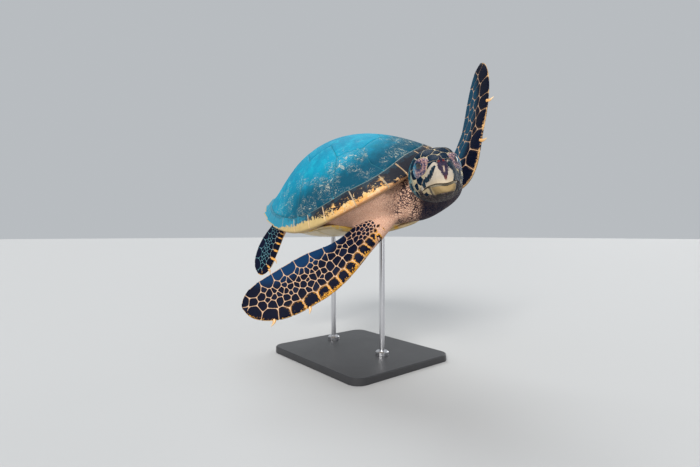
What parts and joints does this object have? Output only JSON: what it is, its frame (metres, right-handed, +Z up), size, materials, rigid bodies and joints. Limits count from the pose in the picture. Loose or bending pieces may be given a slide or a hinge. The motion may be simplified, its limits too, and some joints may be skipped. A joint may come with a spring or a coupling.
{
  "type": "hawksbill sea turtle model",
  "caption": "Life-size still model of a swimming hawksbill sea turtle, banked to its right with one front flipper raised, held by a flat base and upright rods.",
  "frame": {"origin": "centre of the underside of the stand's base, on the floor", "axes": "+Z up; the turtle swims towards -Y, its left side is towards +X; it is banked 30 degrees, left side up"},
  "size_m": [0.7527, 0.9813, 0.9665],
  "materials": {
    "shell_upper": "algae-filmed horn shell, satin",
    "shell_lower": "smooth cream-yellow horn, satin",
    "skin": "fine wrinkled skin with dark scales on the head",
    "skin_scaled": "dark polygonal scales with pale borders",
    "horn": "cream horn, semi-gloss",
    "eye": "wet, glossy, dark",
    "stand_paint": "black powder coat, satin",
    "stand_steel": "brushed"
  },
  "bodies": {
    "root": {"beak_lower": "horn", "beak_upper": "horn", "carapace": "shell_upper", "claw_front_left_1": "horn", "claw_front_left_2": "horn", "claw_front_right_1": "horn", "claw_front_right_2": "horn", "claw_hind_left_1": "horn", "claw_hind_left_2": "horn", "claw_hind_right_1": "horn", "claw_hind_right_2": "horn", "eye_left": "eye", "eye_right": "eye", "flipper_front_left": "skin_scaled", "flipper_front_right": "skin_scaled", "flipper_hind_left": "skin_scaled", "flipper_hind_right": "skin_scaled", "head": "skin", "neck": "skin", "plastron": "shell_lower", "stand_base": "stand_paint", "stand_rod_front": "stand_steel", "stand_rod_rear": "stand_steel", "tail": "skin", "trunk": "skin"}
  },
  "joints": []
}
